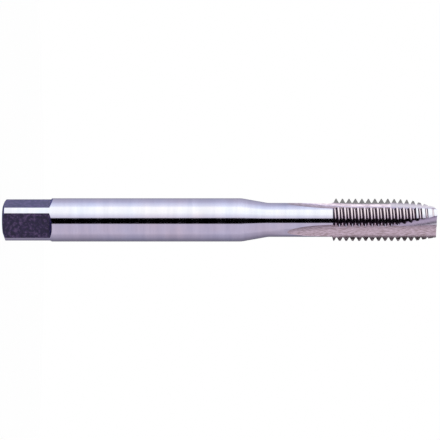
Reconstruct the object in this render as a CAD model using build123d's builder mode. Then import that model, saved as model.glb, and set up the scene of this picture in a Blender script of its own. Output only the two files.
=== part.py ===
"""Machine tap M10 x 1.5, right-hand, ground from one bar of high-speed steel.

The tap stands on the end of its driving square at z = 0, with its axis on Z and its cutting
tip at the top. One land faces the front, towards -Y.
"""

import os
from math import acos, asin, atan2, ceil, cos, degrees, hypot, radians, sin, sqrt, tan

from build123d import *

os.makedirs("parts", exist_ok=True)

# Lengths along the tap, measured from the end of the driving square or from the tip
overall_length = 100.0
square_length = 10.7
relief_length = 38.8
thread_length = 24.0
lead_length = 6.0
flute_length = 34.4
spiral_point_length = 11.5

# Shank, driving square and neck
shank_diameter = 10.0
end_face_diameter = 6.4
end_chamfer_length = 0.75
square_across_flats = 8.0
square_shoulder_angle = 50.0
square_roll = 28.6
neck_diameter = 7.84
neck_cone_angle = 10.0
neck_blend_radius = 6.0

# Thread
thread_pitch = 1.5
thread_angle = 60.0
major_diameter = 10.05
root_diameter = 8.16
tip_diameter = 8.1
thread_start_angle = 70.0
first_groove_past_tip = 1.0
crest_relief = 0.2
crest_margin_angle = 9.0

# Flutes, ground by a large wheel with a rounded edge
flute_count = 3
land_angle = 54.0
core_diameter = 4.8
gullet_radius = 1.2
hook_angle = 10.0
heel_side_radius = 3.8
flute_wheel_radius = 100.0

# Spiral point, ground by a narrower wheel set over by an angle
spiral_point_angle = 10.5
spiral_gullet_radius = 1.5
spiral_web_radius = 2.65
spiral_side_angle = 60.0
spiral_start_clearance = 0.15

# Female centres that carried the blank during grinding
centre_angle = 60.0
shank_centre_diameter = 3.2
shank_centre_pilot = 1.5
shank_centre_depth = 4.0
tip_centre_diameter = 2.0
tip_centre_pilot = 0.9
tip_centre_depth = 2.4

# How far a cutter runs past the metal
overrun = 1.0

# Radii and stations that follow from the sizes above
shank_radius = shank_diameter / 2
neck_radius = neck_diameter / 2
major_radius = major_diameter / 2
root_radius = root_diameter / 2
core_radius = core_diameter / 2
drive_end = 0.0
tip = overall_length
neck_start = tip - relief_length
cone_start = neck_start - (shank_radius - neck_radius) / tan(radians(neck_cone_angle))
thread_start = tip - thread_length
thread_full = thread_start + (major_radius - neck_radius) / tan(radians(thread_start_angle))
lead_start = tip - lead_length
front_turn = 270.0


def section_plane(station, turn=0.0):
    """Plane square to the tap at a station, its x axis turned from +X towards +Y."""
    x_dir = (cos(radians(turn)), sin(radians(turn)), 0)
    return Plane(origin=(0, 0, station), x_dir=x_dir, z_dir=(0, 0, 1))


def side_plane(turn):
    """Plane through the tap's axis whose y axis points out at the given turn."""
    z_dir = (-sin(radians(turn)), cos(radians(turn)), 0)
    return Plane(origin=(0, 0, 0), x_dir=(0, 0, 1), z_dir=z_dir)


def polar(radius, turn):
    """Point at a distance from the axis and a turn from the x axis."""
    return (radius * cos(radians(turn)), radius * sin(radians(turn)))


# The flute's form, with the cutting edge on the plane's x axis. The cutting face leans by
# the hook angle and runs into a tight gullet. A wider hollow touches the core and climbs
# from there to the heel of the next land.
flute_angle = 360 / flute_count - land_angle
heel_radius = major_radius - crest_relief
side_distance = core_radius + heel_side_radius
side_turn = flute_angle - degrees(
    acos(
        (side_distance**2 + heel_radius**2 - heel_side_radius**2)
        / (2 * side_distance * heel_radius)
    )
)
side_x, side_y = polar(side_distance, side_turn)
heel_x, heel_y = polar(heel_radius, flute_angle)
face_x, face_y = polar(1, hook_angle)
side_height = (side_x - major_radius) * -face_y + side_y * face_x
side_setback = (side_x - major_radius) * -face_x + side_y * -face_y
radii_apart = heel_side_radius - gullet_radius
face_width = side_setback + sqrt(radii_apart**2 - (side_height - gullet_radius) ** 2)
gullet_x = major_radius - face_width * face_x - gullet_radius * face_y
gullet_y = gullet_radius * face_x - face_width * face_y
blend_turn = degrees(atan2(gullet_y - side_y, gullet_x - side_x))
heel_side_turn = degrees(atan2(heel_y - side_y, heel_x - side_x)) - 360
form_reach = 2 * major_radius
face_end = (major_radius + form_reach * face_x, form_reach * face_y)
heel_end = polar(form_reach, flute_angle)

# The wheel leaves the flute along its own radius, up through the neck
neck_cut_depth = neck_radius - core_radius
run_out_length = sqrt(flute_wheel_radius**2 - (flute_wheel_radius - neck_cut_depth) ** 2)
flute_full = tip - flute_length + run_out_length
run_out_arc = degrees(acos((flute_wheel_radius - neck_cut_depth - overrun) / flute_wheel_radius))
wheel_distance = core_radius + flute_wheel_radius


# Outline of the flute wheel's edge
with BuildSketch() as wheel_form:
    with BuildLine():
        gullet_sweep = blend_turn - hook_angle + 90
        gullet = CenterArc((gullet_x, gullet_y), gullet_radius, hook_angle - 90, gullet_sweep)
        side_sweep = heel_side_turn - blend_turn
        side = CenterArc((side_x, side_y), heel_side_radius, blend_turn, side_sweep)
        Polyline(side @ 1, heel_end, face_end, gullet @ 0)
    make_face()

# Outline of the spiral point's wheel, which starts clear of the cutting face and of the web
spiral_distance = spiral_web_radius + spiral_gullet_radius
spiral_lift = spiral_gullet_radius + spiral_start_clearance - major_radius * face_y
spiral_turn = hook_angle + degrees(asin(spiral_lift / spiral_distance))
with BuildSketch() as spiral_form:
    with BuildLine():
        spiral_gullet = CenterArc(
            polar(spiral_distance, spiral_turn),
            spiral_gullet_radius,
            hook_angle - 90,
            spiral_side_angle - hook_angle - 180,
        )
        Polyline(
            spiral_gullet @ 1,
            spiral_gullet @ 1 + Vector(polar(form_reach, spiral_side_angle)),
            spiral_gullet @ 0 + Vector(polar(form_reach, hook_angle)),
            spiral_gullet @ 0,
        )
    make_face()

# Crescent that is ground off behind each crest, from the margin to past the heel
relief_per_degree = crest_relief / (land_angle - crest_margin_angle)
relief_turns = [-crest_margin_angle - land_angle * share for share in (0, 0.5, 1)]
with BuildSketch() as relief_form:
    with BuildLine():
        relief_points = [
            polar(major_radius + relief_per_degree * (turn + crest_margin_angle), turn)
            for turn in relief_turns
        ]
        relief = ThreePointArc(*relief_points)
        Polyline(
            relief @ 1,
            polar(form_reach, relief_turns[-1]),
            polar(form_reach, relief_turns[0]),
            relief @ 0,
        )
    make_face()

# One turn of the thread groove, a V with a narrow flat bottom that starts on the +X side
groove_depth = major_radius - root_radius
thread_slope = tan(radians(thread_angle / 2))
crest_flat = thread_pitch / 8
groove_mouth = thread_pitch - crest_flat
groove_bottom = groove_mouth - 2 * groove_depth * thread_slope
groove_top = groove_mouth + crest_flat / 2
groove_height = (groove_top - groove_bottom) / 2 / thread_slope
groove_turns = ceil((thread_length + first_groove_past_tip) / thread_pitch) + 1
groove_start = tip + first_groove_past_tip - groove_turns * thread_pitch
groove_sides = [
    (0, -groove_bottom / 2),
    (groove_height, -groove_top / 2),
    (groove_height + overrun, -groove_top / 2),
    (groove_height + overrun, groove_top / 2),
    (groove_height, groove_top / 2),
    (0, groove_bottom / 2),
]
with BuildPart() as groove_turn:
    with BuildLine():
        helix = Helix(pitch=thread_pitch, height=thread_pitch, radius=root_radius)
    groove_plane = Plane(origin=helix @ 0, x_dir=(1, 0, 0), z_dir=helix % 0)
    with BuildSketch(groove_plane):
        with BuildLine():
            Polyline(groove_sides, close=True)
        make_face()
    sweep(path=helix, is_frenet=True)

with BuildPart() as thread_tap:
    # Turned blank: end chamfer, shank, cone, neck, thread blank with its lead
    with BuildSketch(side_plane(0)) as blank:
        with BuildLine():
            Polyline(
                (drive_end, 0),
                (drive_end, end_face_diameter / 2),
                (drive_end + end_chamfer_length, shank_radius),
                (cone_start, shank_radius),
                (neck_start, neck_radius),
                (thread_start, neck_radius),
                (thread_full, major_radius),
                (lead_start, major_radius),
                (tip, tip_diameter / 2),
                (tip, 0),
                close=True,
            )
        make_face()
        cone_ends = [v for v in blank.vertices() if cone_start - 0.1 < v.Z < neck_start + 0.1]
        fillet(cone_ends, radius=neck_blend_radius)
    revolve(axis=Axis.Z)

    # Driving square: four ground flats that end in a steep sloping shoulder
    flat_height = square_across_flats / 2
    flat_end = drive_end + square_length
    cut_height = shank_radius + overrun
    slope_end = flat_end + (cut_height - flat_height) / tan(radians(square_shoulder_angle))
    for turn in range(0, 360, 90):
        with BuildSketch(side_plane(square_roll + turn)):
            with BuildLine():
                Polyline(
                    (drive_end - overrun, flat_height),
                    (flat_end, flat_height),
                    (slope_end, cut_height),
                    (drive_end - overrun, cut_height),
                    close=True,
                )
            make_face()
        extrude(amount=shank_radius, both=True, mode=Mode.SUBTRACT)

    # Thread, wound turn by turn from the neck past the tip
    with Locations([(0, 0, groove_start + turn * thread_pitch) for turn in range(groove_turns)]):
        add(groove_turn.part, mode=Mode.SUBTRACT)

    # Crest relief, flutes and spiral points, one set for each land
    for land in range(flute_count):
        edge_turn = front_turn + land * 360 / flute_count + land_angle / 2

        # Relief behind the cutting edge, along the whole thread
        with BuildSketch(section_plane(thread_start, edge_turn)):
            add(relief_form.sketch)
        extrude(amount=thread_length + overrun, mode=Mode.SUBTRACT)

        # Flute at full depth, from the run-out past the tip
        flute_plane = section_plane(flute_full, edge_turn)
        with BuildSketch(flute_plane) as flute_form:
            add(wheel_form.sketch)
        extrude(amount=tip - flute_full + overrun, mode=Mode.SUBTRACT)

        # Run-out, where the wheel lifts out through the neck
        hub_line = radians(side_turn)
        wheel_hub = (wheel_distance * cos(hub_line), wheel_distance * sin(hub_line), 0)
        hub_above = (wheel_hub[0] + sin(hub_line), wheel_hub[1] - cos(hub_line), 0)
        hub_point = flute_plane.from_local_coords(wheel_hub)
        wheel_axis = Axis(hub_point, flute_plane.from_local_coords(hub_above) - hub_point)
        revolve(flute_form.sketch, axis=wheel_axis, revolution_arc=run_out_arc, mode=Mode.SUBTRACT)

        # Spiral point, its wheel led across the land towards the tip
        slant = radians(spiral_point_angle)
        across = radians(edge_turn)
        slant_direction = (sin(slant) * sin(across), -sin(slant) * cos(across), cos(slant))
        with BuildSketch(section_plane(tip - spiral_point_length, edge_turn)):
            add(spiral_form.sketch)
        extrude(
            amount=(spiral_point_length + overrun) / cos(slant),
            dir=slant_direction,
            mode=Mode.SUBTRACT,
        )

    # Centre in the shank end
    with Locations(section_plane(drive_end).rotated((180, 0, 0))):
        CounterSinkHole(
            shank_centre_pilot / 2, shank_centre_diameter / 2, shank_centre_depth, centre_angle
        )

    # Centre in the tip
    with Locations(section_plane(tip)):
        CounterSinkHole(
            tip_centre_pilot / 2, tip_centre_diameter / 2, tip_centre_depth, centre_angle
        )

thread_tap.part.label = "thread_tap"
export_step(thread_tap.part, "parts/thread_tap.step")
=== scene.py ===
from math import acos, asin, atan2, ceil, cos, pi, radians, sin, sqrt, tan

import bmesh
import bpy
from mathutils import Matrix, Vector


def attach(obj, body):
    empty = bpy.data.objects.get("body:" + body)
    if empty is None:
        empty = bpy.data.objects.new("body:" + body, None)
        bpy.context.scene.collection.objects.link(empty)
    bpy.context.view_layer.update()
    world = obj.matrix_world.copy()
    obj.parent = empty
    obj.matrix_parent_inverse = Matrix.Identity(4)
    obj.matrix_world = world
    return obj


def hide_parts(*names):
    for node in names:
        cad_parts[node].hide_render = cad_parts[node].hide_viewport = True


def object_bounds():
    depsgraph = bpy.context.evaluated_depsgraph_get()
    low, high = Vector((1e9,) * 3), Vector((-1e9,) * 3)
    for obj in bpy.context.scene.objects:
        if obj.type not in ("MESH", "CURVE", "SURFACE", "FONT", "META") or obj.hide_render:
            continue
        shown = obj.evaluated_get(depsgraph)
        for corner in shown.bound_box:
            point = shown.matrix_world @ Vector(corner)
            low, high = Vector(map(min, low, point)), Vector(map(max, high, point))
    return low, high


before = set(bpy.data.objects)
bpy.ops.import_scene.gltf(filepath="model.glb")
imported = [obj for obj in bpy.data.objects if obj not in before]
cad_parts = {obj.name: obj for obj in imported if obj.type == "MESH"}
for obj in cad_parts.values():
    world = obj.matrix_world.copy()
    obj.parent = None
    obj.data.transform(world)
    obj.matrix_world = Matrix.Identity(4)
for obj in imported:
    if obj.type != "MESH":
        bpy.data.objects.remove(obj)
cad_low, cad_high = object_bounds()


# The camera stands half a metre off, level with the middle of the tap and a little to one side
# of its front land. It lies on its side, so that the standing tap points to the right.
picture_width_px = 440
drive_end_px = 3.3
tip_px = 435.8
centre_line_px = 219.9
camera_distance = 0.52
camera_turn = radians(9.4)
metres_per_px = (cad_high.z - cad_low.z) / (tip_px - drive_end_px)
back = Vector((sin(camera_turn), -cos(camera_turn), 0))
right = Vector((0, 0, 1))
up = back.cross(right)
camera = bpy.data.objects.new("camera", bpy.data.cameras.new("camera"))
camera.data.lens = camera.data.sensor_width * camera_distance / (picture_width_px * metres_per_px)
camera.matrix_world = Matrix((right, up, back)).transposed().to_4x4()
camera.location = back * camera_distance
camera.location += up * (centre_line_px - picture_width_px / 2) * metres_per_px
camera.location.z = cad_low.z + (picture_width_px / 2 - drive_end_px) * metres_per_px
bpy.context.scene.collection.objects.link(camera)
bpy.context.scene.camera = camera


# The blank is turned from one bar of high-speed steel, hardened, and ground between centres: a
# shank, a cone down to the neck, and the larger barrel that will carry the thread. Grinding
# leaves fine rings round it, and the end of the shank keeps the dark skin of the hardening.
mm = 0.001
steps_around = 288
blend_steps = 6
same_point = 1e-5
shank_radius = 5.0
end_face_radius = 3.3
end_chamfer_length = 0.62
neck_radius = 3.92
neck_cone = radians(10)
neck_blend_radius = 6.0
major_radius = 5.025
tip_radius = 4.05
tip = (cad_high.z - cad_low.z) / mm
neck_start = tip - 38.8
thread_length = 24.0
thread_start = tip - thread_length
thread_start_slope = radians(70)
lead_start = tip - 6.0

# Single grinding rings are a few hundredths of a millimetre wide, too fine to show, so they are
# drawn as bands of 1.4 mm with finer ones in them. The skin's spots are drawn coarser too.
ring_width = 1.4
ring_length = 12.0
patch_width = 7.0
spot_width = 0.8

# Nearly all of the noise lies between the first two levels. A colour goes from its dark shade
# to its light one a little inside them.
noise_low, noise_high = 0.3, 0.7
dark_level, light_level = 0.35, 0.65


def linear(hex_colour):
    """The linear colour, with full alpha, that a display shows as this sRGB hex value."""
    levels = [int(hex_colour[i:i + 2], 16) / 255 for i in (1, 3, 5)]
    return [*(v / 12.92 if v <= 0.04045 else ((v + 0.055) / 1.055) ** 2.4 for v in levels), 1.0]


def add_node(tree, kind, inputs, stops=(), **settings):
    """A shader node with its settings and colour stops, each input a value or a linked socket."""
    node = tree.nodes.new("ShaderNode" + kind)
    for name, value in settings.items():
        setattr(node, name, value)
    for name, value in inputs.items():
        if isinstance(value, bpy.types.NodeSocket):
            tree.links.new(value, node.inputs[name])
        else:
            node.inputs[name].default_value = value
    if stops:
        elements = node.color_ramp.elements
        elements.remove(elements[1])
        elements[0].position, elements[0].color = stops[0]
        for position, colour in stops[1:]:
            elements.new(position).color = colour
    return node


def grain(tree, across, along, detail=2.0, harshness=0.5):
    """Noise in the tap's own coordinates, from its width in mm across the axis and along it."""
    place = add_node(tree, "TexCoord", {})
    drawn_out = add_node(tree, "Mapping", {
        "Vector": place.outputs["Object"],
        "Scale": (1 / (across * mm), 1 / (across * mm), 1 / (along * mm)),
    })
    noise = add_node(tree, "TexNoise", {
        "Vector": drawn_out.outputs["Vector"], "Scale": 1.0, "Detail": detail,
        "Roughness": harshness,
    })
    return noise.outputs["Fac"]


def surface_from(tree, pattern, colours, roughness, relief):
    """Colour by the pattern's level, roughness, and relief in mm, as inputs of a shader."""
    colour = add_node(tree, "ValToRGB", {"Fac": pattern}, [
        (level, linear(hex_colour)) for level, hex_colour in colours
    ])
    rough = add_node(tree, "MapRange", {
        "Value": pattern, "From Min": noise_low, "From Max": noise_high,
        "To Min": roughness[0], "To Max": roughness[1],
    })
    normal = add_node(tree, "Bump", {"Height": pattern, "Strength": 1.0, "Distance": relief * mm})
    return {
        "Base Color": colour.outputs["Color"], "Roughness": rough.outputs["Result"],
        "Normal": normal.outputs["Normal"],
    }


def finish(name, draw, **details):
    """A material whose surface comes from the inputs that the given function draws."""
    material = bpy.data.materials.new(name)
    material.use_nodes = True
    tree = material.node_tree
    tree.nodes.clear()
    surface = add_node(tree, "BsdfPrincipled", draw(tree, **details))
    add_node(tree, "OutputMaterial", {"Surface": surface.outputs["BSDF"]})
    return material


def ground_round(tree):
    """Bright steel, its reflections drawn out by rings, with patches a shade warmer or cooler."""
    rings = grain(tree, ring_length, ring_width, detail=5.0)
    patches = grain(tree, patch_width, patch_width)
    surface = surface_from(
        tree, rings, [(dark_level, "#B6B1C8"), (light_level, "#BFBAD0")],
        roughness=(0.06, 0.12), relief=0.0001,
    )
    warmer = add_node(tree, "ValToRGB", {"Fac": rings}, [
        (dark_level, linear("#BCB1C2")), (light_level, linear("#C6B9C9")),
    ])
    warmth = add_node(tree, "MapRange", {
        "Value": patches, "From Min": noise_low, "From Max": noise_high,
    })
    # A Mix node takes its two colours at inputs 6 and 7, and gives one at output 2.
    mixed = add_node(tree, "Mix", {
        0: warmth.outputs["Result"], 6: surface["Base Color"], 7: warmer.outputs["Color"],
    }, data_type="RGBA")
    return {**surface, "Base Color": mixed.outputs[2], "Metallic": 1.0}


def hardened_skin(tree):
    """Dark violet oxide with paler spots under a film of oil, and a blue bloom at a low angle."""
    spots = grain(tree, spot_width, spot_width, detail=6.0, harshness=0.75)
    surface = surface_from(
        tree, spots, [(0.4, "#08001C"), (0.5, "#1E0C38"), (0.6, "#6C566E")],
        roughness=(0.5, 0.3), relief=0.01,
    )
    return {
        **surface, "Metallic": 0.0, "IOR": 1.5, "Specular Tint": linear("#7040A8"),
        "Coat Weight": 0.7, "Coat Roughness": 0.3, "Coat IOR": 1.5, "Coat Tint": linear("#CCBCF8"),
        "Sheen Weight": 0.4, "Sheen Roughness": 0.4, "Sheen Tint": linear("#8C90FF"),
    }


shank_finish = finish("cylindrically_ground_hss", ground_round)
skin_finish = finish("oxidised_hss", hardened_skin)


def arc(centre, radius, start, end, steps):
    """Points along an arc, from one angle to the other."""
    turns = [start + (end - start) * i / steps for i in range(steps + 1)]
    return [(centre[0] + radius * cos(a), centre[1] + radius * sin(a)) for a in turns]


def outline(bm, points):
    """A chain of edges through the given points."""
    verts = [bm.verts.new(p) for p in points]
    return verts + [bm.edges.new(pair) for pair in zip(verts, verts[1:])]


def solid(name, bm, *materials):
    """An object from a closed mesh in mm, with the given finishes."""
    bmesh.ops.remove_doubles(bm, verts=bm.verts, dist=same_point)
    bmesh.ops.recalc_face_normals(bm, faces=bm.faces)
    mesh = bpy.data.meshes.new(name)
    bm.to_mesh(mesh)
    bm.free()
    for material in materials:
        mesh.materials.append(material)
    made = bpy.data.objects.new(name, mesh)
    bpy.context.scene.collection.objects.link(made)
    return made


cone_start = neck_start - (shank_radius - neck_radius) / tan(neck_cone)
blend_reach = neck_blend_radius * tan(neck_cone / 2)
blank_profile = [
    (0, 0), (end_face_radius, 0), (shank_radius, end_chamfer_length),
    *arc((shank_radius - neck_blend_radius, cone_start - blend_reach),
         neck_blend_radius, 0, neck_cone, blend_steps),
    *arc((neck_radius + neck_blend_radius, neck_start + blend_reach),
         neck_blend_radius, pi + neck_cone, pi, blend_steps),
    (neck_radius, thread_start),
    (major_radius, thread_start + (major_radius - neck_radius) / tan(thread_start_slope)),
    (major_radius, lead_start),
    (tip_radius, tip),
    (0, tip),
]
bm = bmesh.new()
bmesh.ops.spin(
    bm, geom=outline(bm, [(r, 0, z) for r, z in blank_profile]),
    axis=(0, 0, 1), angle=2 * pi, steps=steps_around, use_merge=True,
)

# The end face and its chamfer keep the skin.
for face in bm.faces:
    face.material_index = int(face.calc_center_median().z < end_chamfer_length)
tap = solid("tap", bm, shank_finish, skin_finish)


# The driving square is four flats, ground before the hardening, so the dark skin covers them.
# The wheel's sloping side leaves a shoulder at the end of each flat.
flat_count = 4
square_end = 10.95
flat_distance = 4.0
shoulder_slope = radians(58)
square_roll = radians(28.6)
overrun = 1.0


def extrude(bm, points, height, length, steps=1, direction=(0, 0, 1)):
    """A prism from an outline at a height, drawn out in steps. Returns the far end."""
    face = bm.faces.new([bm.verts.new((*point, height)) for point in points])
    drawn = bmesh.ops.spin(
        bm, geom=[face, *face.edges, *face.verts], axis=(0, 0, 1), angle=0, steps=steps,
        dvec=Vector(direction) * (length / steps),
    )
    return drawn["geom_last"]


def cut(name, bm, turn, *materials):
    """Takes a shape, turned about the axis, out of the tap, and leaves its finishes on the cut."""
    bmesh.ops.rotate(bm, verts=bm.verts, matrix=Matrix.Rotation(turn, 3, "Z"))
    tool = solid(name, bm, *materials)
    modifier = tap.modifiers.new(name, "BOOLEAN")
    modifier.operation = "DIFFERENCE"
    modifier.solver = "MANIFOLD"
    modifier.material_mode = "TRANSFER"
    modifier.object = tool
    evaluated = tap.evaluated_get(bpy.context.evaluated_depsgraph_get())
    before, tap.data = tap.data, bpy.data.meshes.new_from_object(evaluated)
    tap.modifiers.clear()
    bpy.data.meshes.remove(before)
    # The shape's object goes with its mesh.
    bpy.data.meshes.remove(tool.data)


slab_reach = shank_radius + overrun
slope_end = square_end + (slab_reach - flat_distance) / tan(shoulder_slope)
flat_profile = [
    (flat_distance, -overrun), (flat_distance, square_end),
    (slab_reach, slope_end), (slab_reach, -overrun),
]
for side in range(flat_count):
    bm = bmesh.new()
    extrude(bm, flat_profile, -slab_reach, 2 * slab_reach)
    bmesh.ops.rotate(bm, verts=bm.verts, matrix=Matrix.Rotation(pi / 2, 3, "X"))
    cut("flat", bm, square_roll + side * pi / 2, skin_finish)


# The thread is a right-hand 60 degree V with a narrow flat root, ground in one helix from the
# neck past the tip. The root is bright, and the flanks are coloured darker: painted shade for
# the dark that their slope mirrors.
pitch = 1.5
root_radius = 4.08
flank_slope = tan(radians(30))
crest_flat = pitch / 8
groove_past_tip = 1.0
steps_per_turn = 120
flank_least_rise = 0.1

# The cutting shape widens on above the crests, by this share of a crest's flat, so that it
# leaves the steel cleanly and its own turns don't touch.
widened_share = 0.9

# The wheel's lines are about 0.02 mm wide, too fine to show, so they are drawn coarser.
thread_line_width = 0.15
thread_line_length = 5.0


def lined_steel(tree, across, along, dark, light, roughness, relief):
    """Steel with a grinding wheel's lines, from their width in mm across the axis and along it."""
    lines = grain(tree, across, along, detail=3.0)
    colours = [(dark_level, dark), (light_level, light)]
    return {**surface_from(tree, lines, colours, roughness, relief), "Metallic": 1.0}


# The root is bright steel with fine lines along the helix.
thread_finish = finish(
    "thread_ground_hss", lined_steel, across=thread_line_length, along=thread_line_width,
    dark="#BAA5B6", light="#C4B0C2", roughness=(0.1, 0.18), relief=0.0003,
)

# The flanks are the same ground steel coloured darker, as painted shade for the dark that their
# slope mirrors, with the same lines.
flank_painted_shade_finish = finish(
    "thread_flank_painted_shade_hss", lined_steel, across=thread_line_length, along=thread_line_width,
    dark="#7C6E7C", light="#8E808E", roughness=(0.14, 0.22), relief=0.0003,
)
groove_mouth = pitch - crest_flat
groove_bottom = groove_mouth - 2 * (major_radius - root_radius) * flank_slope
groove_top = groove_mouth + crest_flat * widened_share
groove_edge = root_radius + (groove_top - groove_bottom) / 2 / flank_slope
groove_turns = ceil((thread_length + groove_past_tip) / pitch) + 1
groove_start = tip + groove_past_tip - groove_turns * pitch
groove_profile = [
    (root_radius, -groove_bottom / 2), (groove_edge, -groove_top / 2),
    (groove_edge + overrun, -groove_top / 2), (groove_edge + overrun, groove_top / 2),
    (groove_edge, groove_top / 2), (root_radius, groove_bottom / 2),
]
bm = bmesh.new()
face = bm.faces.new([bm.verts.new((r, 0, groove_start + z)) for r, z in groove_profile])
bmesh.ops.spin(
    bm, geom=[face, *face.edges, *face.verts], axis=(0, 0, 1),
    angle=2 * pi * groove_turns, steps=groove_turns * steps_per_turn,
    dvec=(0, 0, pitch / steps_per_turn),
)

# The flanks rise from one radius to another, and the root doesn't.
for face in bm.faces:
    radii = [vert.co.xy.length for vert in face.verts]
    face.material_index = int(max(radii) - min(radii) > flank_least_rise)
cut("thread", bm, 0, thread_finish, flank_painted_shade_finish)


# Each crest is relieved: behind a narrow margin at the cutting edge it falls away evenly to the
# heel, so that only the edge rubs. The same wheel grinds it as the thread.
land_count = 3
land_angle = radians(54)
front_land_turn = radians(270)
crest_relief = 0.2
crest_margin = radians(9)
relief_steps = 24
clear_radius = 2 * major_radius


def polar(radius, turn):
    """The point at a distance from the axis and a turn from the x axis."""
    return Vector((radius * cos(turn), radius * sin(turn)))


edge_turns = [
    front_land_turn + land_angle / 2 + land * 2 * pi / land_count for land in range(land_count)
]
relief_slope = crest_relief / (land_angle - crest_margin)
relief_falls = [land_angle * i / relief_steps for i in range(relief_steps + 1)]
relief_outline = [
    *(polar(major_radius - relief_slope * fall, -crest_margin - fall) for fall in relief_falls),
    polar(clear_radius, -crest_margin - land_angle),
    polar(clear_radius, -crest_margin),
]
for edge_turn in edge_turns:
    bm = bmesh.new()
    extrude(bm, relief_outline, thread_start, thread_length + overrun)
    cut("relief", bm, edge_turn, thread_finish)


# Three straight flutes are ground along the tap by a large wheel, which leaves them through the
# neck on its own radius. The face leans by the hook angle into a tight gullet, and a wider
# hollow climbs to the heel. The wheel leaves lines along the flute.
core_radius = 2.4
gullet_radius = 1.2
gullet_steps = 12
heel_side_radius = 3.8
heel_side_steps = 20
hook = radians(10)
wheel_radius = 100.0
flute_length = 34.4
flute_steps = 60
run_out_steps = 30
face_tolerance = radians(3)

# These lines are a few hundredths of a millimetre wide too, and are drawn as short and as coarse
# as they need to show.
flute_line_width = 0.22
flute_line_length = 1.0

# The hollow is duller steel, a little warm, with coarser lines along the tap.
flute_finish = finish(
    "flute_ground_hss", lined_steel, across=flute_line_width, along=flute_line_length,
    dark="#A08C90", light="#D6C0CC", roughness=(0.2, 0.34), relief=0.004,
)

# The gullet is the same, a little cooler where the corner of the wheel ran.
gullet_finish = finish(
    "gullet_ground_hss", lined_steel, across=flute_line_width, along=flute_line_length,
    dark="#AA94AA", light="#D2BED2", roughness=(0.2, 0.34), relief=0.004,
)

# The cutting face is neutral steel, frosted by the side of the wheel.
face_finish = finish(
    "cutting_face_ground_hss", lined_steel, across=flute_line_width, along=flute_line_length,
    dark="#A29CA2", light="#AEA8AE", roughness=(0.42, 0.54), relief=0.002,
)

# Seen along the axis, with the cutting edge on the x axis, the hollow's arc touches the core and
# meets the heel. The gullet's arc touches the face and runs on into the hollow's.
flute_angle = 2 * pi / land_count - land_angle
heel = polar(major_radius - crest_relief, flute_angle)
hollow_distance = core_radius + heel_side_radius
hollow_turn = flute_angle - acos(
    (hollow_distance ** 2 + heel.length_squared - heel_side_radius ** 2)
    / (2 * hollow_distance * heel.length)
)
hollow = polar(hollow_distance, hollow_turn)
edge = polar(major_radius, 0)
face_out, face_normal = polar(1, hook), polar(1, hook + pi / 2)
rise, setback = (hollow - edge).dot(face_normal), (edge - hollow).dot(face_out)
face_width = setback + sqrt((heel_side_radius - gullet_radius) ** 2 - (rise - gullet_radius) ** 2)
gullet = edge - face_width * face_out + gullet_radius * face_normal
blend_turn = atan2(gullet.y - hollow.y, gullet.x - hollow.x)
heel_turn = atan2(heel.y - hollow.y, heel.x - hollow.x) - 2 * pi
flute_outline = [
    *arc(gullet, gullet_radius, hook - pi / 2, blend_turn, gullet_steps),
    *arc(hollow, heel_side_radius, blend_turn, heel_turn, heel_side_steps)[1:],
    polar(clear_radius, flute_angle),
    edge + clear_radius * face_out,
]

# Where the wheel stops, its rim leaves a run-out, so there the outline swings out about its hub.
neck_cut_depth = neck_radius - core_radius
run_out_length = sqrt(wheel_radius ** 2 - (wheel_radius - neck_cut_depth) ** 2)
run_out_angle = acos((wheel_radius - neck_cut_depth - overrun) / wheel_radius)
flute_full = tip - flute_length + run_out_length
hub = (*polar(core_radius + wheel_radius, hollow_turn), flute_full)
gullet_middle = polar(1, (hook - pi / 2 + blend_turn) / 2)
gullet_spread = (hook - pi / 2 - blend_turn) / 2
for edge_turn in edge_turns:
    bm = bmesh.new()
    end = extrude(bm, flute_outline, tip + overrun, flute_full - tip - overrun, flute_steps)
    bmesh.ops.spin(
        bm, geom=end, cent=hub, axis=(*polar(1, hollow_turn - pi / 2), 0),
        angle=run_out_angle, steps=run_out_steps,
    )
    bm.normal_update()
    # The wheel's flat side grinds the face, its corner the gullet, and its rim the hollow.
    for face in bm.faces:
        facing = face.normal.xy.normalized()
        if abs(facing.dot(face_normal)) > cos(face_tolerance):
            face.material_index = 2
        elif facing.dot(gullet_middle) > cos(gullet_spread):
            face.material_index = 1
    cut("flute", bm, edge_turn, flute_finish, gullet_finish, face_finish)


# A second, narrower wheel cuts the spiral point. It starts clear of the cutting face and is led
# across the land to the tip, so that the first threads cut with a skewed edge.
point_length = 11.5
point_slant = radians(10.5)
point_gullet_radius = 1.5
point_gullet_steps = 16
point_web_radius = 2.65
point_side = radians(60)
point_clearance = 0.15
point_steps = 30

# Its lines too are drawn coarser than they are, so that they show.
point_line_width = 0.2
point_line_length = 6.0

# The point is cooler steel than the flute, frosted, with its own lines along the cut.
point_finish = finish(
    "point_ground_hss", lined_steel, across=point_line_width, along=point_line_length,
    dark="#B4A6BC", light="#C6B8CC", roughness=(0.42, 0.52), relief=0.001,
)
point_distance = point_web_radius + point_gullet_radius
point_lift = point_gullet_radius + point_clearance - major_radius * sin(hook)
point_centre = polar(point_distance, hook + asin(point_lift / point_distance))
point_arc = arc(
    point_centre, point_gullet_radius, hook - pi / 2, point_side - 3 * pi / 2, point_gullet_steps,
)
point_outline = [
    *point_arc,
    Vector(point_arc[-1]) + polar(clear_radius, point_side),
    Vector(point_arc[0]) + polar(clear_radius, hook),
]
for edge_turn in edge_turns:
    bm = bmesh.new()
    extrude(
        bm, point_outline, tip - point_length, (point_length + overrun) / cos(point_slant),
        point_steps, (0, -sin(point_slant), cos(point_slant)),
    )
    bm.normal_update()
    # This wheel's flat side leaves the same finish as the other's.
    for face in bm.faces:
        lean = abs(face.normal.xy.normalized().dot(face_normal))
        face.material_index = int(lean > cos(face_tolerance))
    cut("spiral_point", bm, edge_turn, point_finish, face_finish)


# A 60 degree centre is drilled in each end before the hardening, to carry the blank between
# points. Both keep the dark skin.
centre_slope = tan(radians(30))
centre_steps = 48

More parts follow.
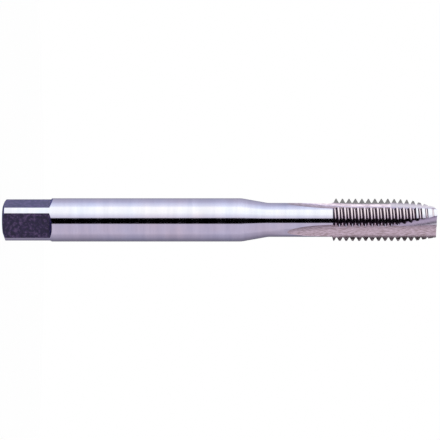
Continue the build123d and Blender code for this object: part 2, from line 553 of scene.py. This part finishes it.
# The height of each end, the way in, the radii of mouth and pilot hole, and the depth.
centres = [
    (0, 1, 1.6, 0.75, 4.0),
    (tip, -1, 1.0, 0.45, 2.4),
]
for end, inward, mouth_radius, pilot_radius, depth in centres:
    cone_depth = (mouth_radius - pilot_radius) / centre_slope
    profile = [
        (0, -overrun), (mouth_radius, -overrun), (mouth_radius, 0), (pilot_radius, cone_depth),
        (pilot_radius, depth), (0, depth),
    ]
    bm = bmesh.new()
    bmesh.ops.spin(
        bm, geom=outline(bm, [(r, 0, end + inward * z) for r, z in profile]),
        axis=(0, 0, 1), angle=2 * pi, steps=centre_steps, use_merge=True,
    )
    cut("centre", bm, 0, skin_finish)


# The finished tap is one piece. What the cuts left double or without area is closed up, and the
# mesh goes from mm to metres and takes the place of the part's plain solid.
narrowest_gap = 1e-4
shortest_edge = 1e-5
sharp_angle = radians(30)
bm = bmesh.new()
bm.from_mesh(tap.data)
bmesh.ops.remove_doubles(bm, verts=bm.verts, dist=narrowest_gap)
bmesh.ops.dissolve_degenerate(bm, edges=bm.edges, dist=shortest_edge)
bmesh.ops.scale(bm, verts=bm.verts, vec=(mm, mm, mm))
bm.to_mesh(tap.data)
bm.free()
tap.data.shade_smooth()
tap.data.set_sharp_from_angle(angle=sharp_angle)
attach(tap, "root")
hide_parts("thread_tap")


# The tap stands on a small white table, which shows to the camera as part of the white
# background and keeps a faint shadow. It is left out of the steel's reflections.
floor_radius = 0.12
floor_segments = 96
background_share = 0.98
floor = bpy.data.objects.new("floor", bpy.data.meshes.new("floor"))
bm = bmesh.new()
bmesh.ops.create_circle(bm, cap_ends=True, segments=floor_segments, radius=floor_radius)
bm.to_mesh(floor.data)
bm.free()
bpy.context.scene.collection.objects.link(floor)
floor.visible_glossy = False
table = bpy.data.materials.new("white_table")
table.use_nodes = True
floor.data.materials.append(table)
tree = table.node_tree
tree.nodes.clear()
ray = add_node(tree, "LightPath", {})
board = add_node(tree, "BsdfDiffuse", {"Color": linear("#FFFFFF")})
glow = add_node(tree, "Emission", {"Color": linear("#FFFFFF"), "Strength": 1.0})
share = add_node(tree, "MapRange", {
    "Value": ray.outputs["Is Camera Ray"], "To Max": background_share,
})
mixed = add_node(tree, "MixShader", {
    0: share.outputs["Result"], 1: board.outputs["BSDF"], 2: glow.outputs["Emission"],
})
add_node(tree, "OutputMaterial", {"Surface": mixed.outputs["Shader"]})


# A tent of white cloth stands round the tap, lit brighter from above in the picture, with a
# narrow gap for the camera. The cloth ends in a dark hem above the table, and its roof is dimmer.
brightest = 2.1

# Degrees round from the camera, positive on the side of the picture's top, with the cloth's
# colour and brightness there.
cloth = [
    (-180, "#9090A0", 0.45), (-141, "#ECECFF", 0.38), (-127, "#ECECFF", 0.45),
    (-107, "#F2F0FF", 0.66), (-90, "#F6F4FF", 0.77), (-76, "#F8F6FF", 0.97),
    (-22, "#F8F6FF", 0.96), (-20, "#000000", 0), (9.3, "#000000", 0), (11, "#FAFFFF", 1.1),
    (15, "#FAFFFF", 1.26), (26, "#F4FFF8", 1.56), (38, "#F2FFEE", 1.96), (68, "#F2FFEE", 2.1),
    (81, "#ECFAFC", 1.6), (96, "#E8F6FF", 1.36), (110, "#E8F0FF", 1.05), (138, "#E8EEFF", 0.76),
    (158, "#E0E0F8", 0.6), (180, "#9090A0", 0.45),
]

# The height's sine, from straight down to straight up, with the share of that brightness: the
# table, the hem, the cloth and the roof.
heights = [
    (-1.0, 0.6), (-0.96, 0.6), (-0.92, 0.1), (-0.64, 0.1), (-0.42, 1.0), (0.42, 1.0), (0.8, 0.6),
]
world = bpy.data.worlds.new("tent")
bpy.context.scene.world = world
world.use_nodes = True
tree = world.node_tree
tree.nodes.clear()
look = add_node(tree, "TexCoord", {})
from_camera = add_node(tree, "VectorRotate", {
    "Vector": look.outputs["Generated"], "Angle": pi - camera_turn,
}, rotation_type="Z_AXIS")
axes = add_node(tree, "SeparateXYZ", {"Vector": from_camera.outputs["Vector"]})
bearing = add_node(tree, "Math", {0: axes.outputs["X"], 1: axes.outputs["Y"]}, operation="ARCTAN2")
around = add_node(tree, "MapRange", {
    "Value": bearing.outputs["Value"], "From Min": -pi, "From Max": pi,
})
lit_cloth = add_node(tree, "ValToRGB", {"Fac": around.outputs["Result"]}, [
    ((degrees + 180) / 360, [c * level / brightest for c in linear(colour)[:3]] + [1.0])
    for degrees, colour, level in cloth
])
height = add_node(tree, "MapRange", {
    "Value": axes.outputs["Z"], "From Min": -1.0, "From Max": 1.0,
})
share = add_node(tree, "ValToRGB", {"Fac": height.outputs["Result"]}, [
    ((sine + 1) / 2, [level, level, level, 1.0]) for sine, level in heights
])
strength = add_node(tree, "Math", {0: share.outputs["Color"], 1: brightest}, operation="MULTIPLY")
tent = add_node(tree, "Background", {
    "Color": lit_cloth.outputs["Color"], "Strength": strength.outputs["Value"],
})

# Only the camera sees plain white. The steel mirrors the tent, because the dark stripe along it
# and its two unlike sides are the tent's gap and cloth.
ray = add_node(tree, "LightPath", {})
white = add_node(tree, "Background", {"Color": linear("#FFFFFF"), "Strength": 1.0})
mixed = add_node(tree, "MixShader", {
    0: ray.outputs["Is Camera Ray"], 1: tent.outputs["Background"], 2: white.outputs["Background"],
})
add_node(tree, "OutputWorld", {"Surface": mixed.outputs["Shader"]})

bpy.context.scene.view_settings.view_transform = "Standard"
